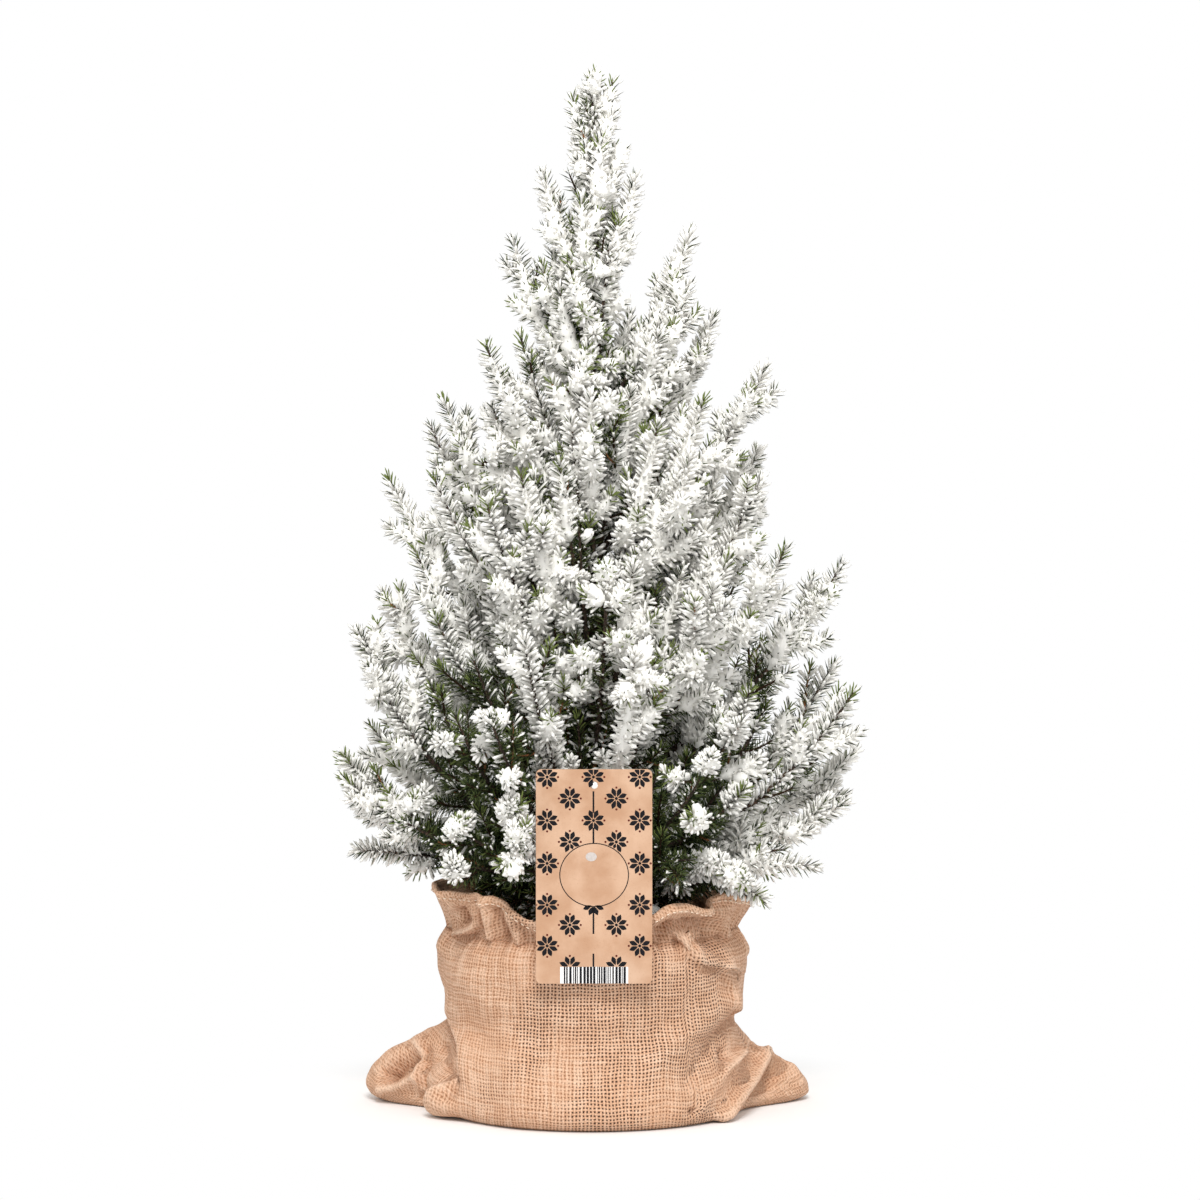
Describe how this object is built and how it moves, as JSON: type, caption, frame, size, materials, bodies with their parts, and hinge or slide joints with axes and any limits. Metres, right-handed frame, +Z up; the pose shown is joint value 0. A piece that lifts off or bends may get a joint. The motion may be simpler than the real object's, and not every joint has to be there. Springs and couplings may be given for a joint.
{
  "type": "sapling with root ball",
  "caption": "Young spruce under flocked snow, upright needled spires on one tapering trunk, its root ball in a gathered jute sack with a patterned card label in front.",
  "frame": {"origin": "middle of the sack's flat underside, under the trunk's foot", "axes": "+Z up along the trunk, -Y towards the front where the label hangs, +X to the right of someone facing the label"},
  "size_m": [0.3279, 0.2693, 0.643],
  "materials": {
    "frosted_needles": "matte",
    "bark": "matte",
    "jute": "matte",
    "soil": "matte",
    "kraft_card": "matte"
  },
  "bodies": {
    "root": {"bough_high_back_left": "bark", "bough_high_back_right": "bark", "bough_high_front_left": "bark", "bough_high_front_right": "bark", "bough_high_right": "bark", "bough_high_side_left": "bark", "bough_low_back_left": "bark", "bough_low_back_right": "bark", "bough_low_front": "bark", "bough_low_front_left": "bark", "bough_low_front_right": "bark", "bough_low_left": "bark", "bough_low_right": "bark", "bough_middle_back": "bark", "bough_middle_back_left": "bark", "bough_middle_back_right": "bark", "bough_middle_front": "bark", "bough_middle_front_left": "bark", "bough_middle_front_right": "bark", "bough_middle_left": "bark", "bough_middle_right": "bark", "bough_upper_back": "bark", "bough_upper_back_left": "bark", "bough_upper_left": "bark", "bough_upper_right": "bark", "bough_upper_side_left": "bark", "label": "kraft_card", "mass_high_back_left": "frosted_needles", "mass_high_back_right": "frosted_needles", "mass_high_front_left": "frosted_needles", "mass_high_front_right": "frosted_needles", "mass_high_right": "frosted_needles", "mass_high_side_left": "frosted_needles", "mass_leader": "frosted_needles", "mass_low_back_left": "frosted_needles", "mass_low_back_right": "frosted_needles", "mass_low_front": "frosted_needles", "mass_low_front_left": "frosted_needles", "mass_low_front_right": "frosted_needles", "mass_low_left": "frosted_needles", "mass_low_right": "frosted_needles", "mass_middle_back": "frosted_needles", "mass_middle_back_left": "frosted_needles", "mass_middle_back_right": "frosted_needles", "mass_middle_front": "frosted_needles", "mass_middle_front_left": "frosted_needles", "mass_middle_front_right": "frosted_needles", "mass_middle_left": "frosted_needles", "mass_middle_right": "frosted_needles", "mass_top_left": "frosted_needles", "mass_top_right": "frosted_needles", "mass_upper_back": "frosted_needles", "mass_upper_back_left": "frosted_needles", "mass_upper_left": "frosted_needles", "mass_upper_right": "frosted_needles", "mass_upper_side_left": "frosted_needles", "root_ball": "soil", "sack": "jute", "trunk": "bark"}
  },
  "joints": []
}
